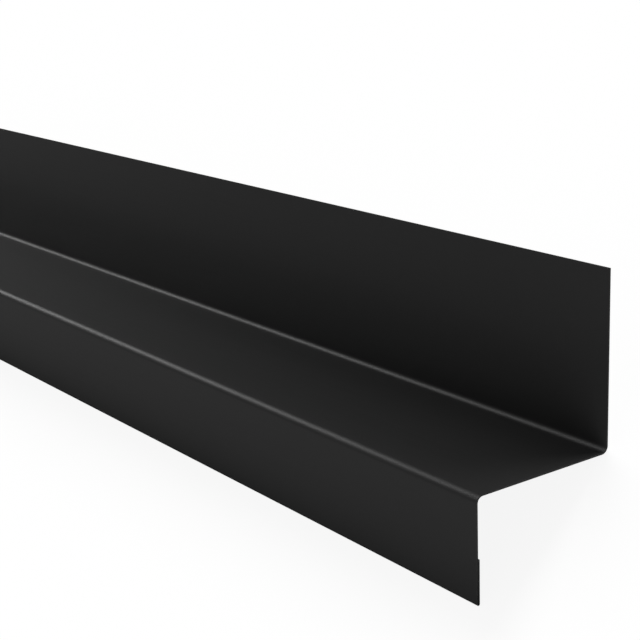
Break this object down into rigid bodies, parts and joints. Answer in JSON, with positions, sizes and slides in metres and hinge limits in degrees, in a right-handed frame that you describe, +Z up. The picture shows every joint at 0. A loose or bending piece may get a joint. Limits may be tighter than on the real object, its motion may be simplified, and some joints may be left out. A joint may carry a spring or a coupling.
{
  "type": "drip edge flashing",
  "caption": "Long folded sheet-metal drip edge: an upright flange, a flat shelf and a drip leg that ends in a closed hem. It sheds water past a roof or wall edge.",
  "frame": {"origin": "on the floor under the middle of the part: the bottom centre of its bounding box", "axes": "+X along the length, towards the cut end that the picture shows; +Y from the drip leg towards the upright; +Z up, with the part tipped back onto its hem and heel as it rests on a level floor"},
  "size_m": [2, 0.0984, 0.0494],
  "materials": {
    "black_coated_steel": "satin-matte black coil coating on thin steel sheet, the same on both faces and on the cut edges"
  },
  "bodies": {
    "root": {"drip_edge_flashing": "black_coated_steel"}
  },
  "joints": []
}
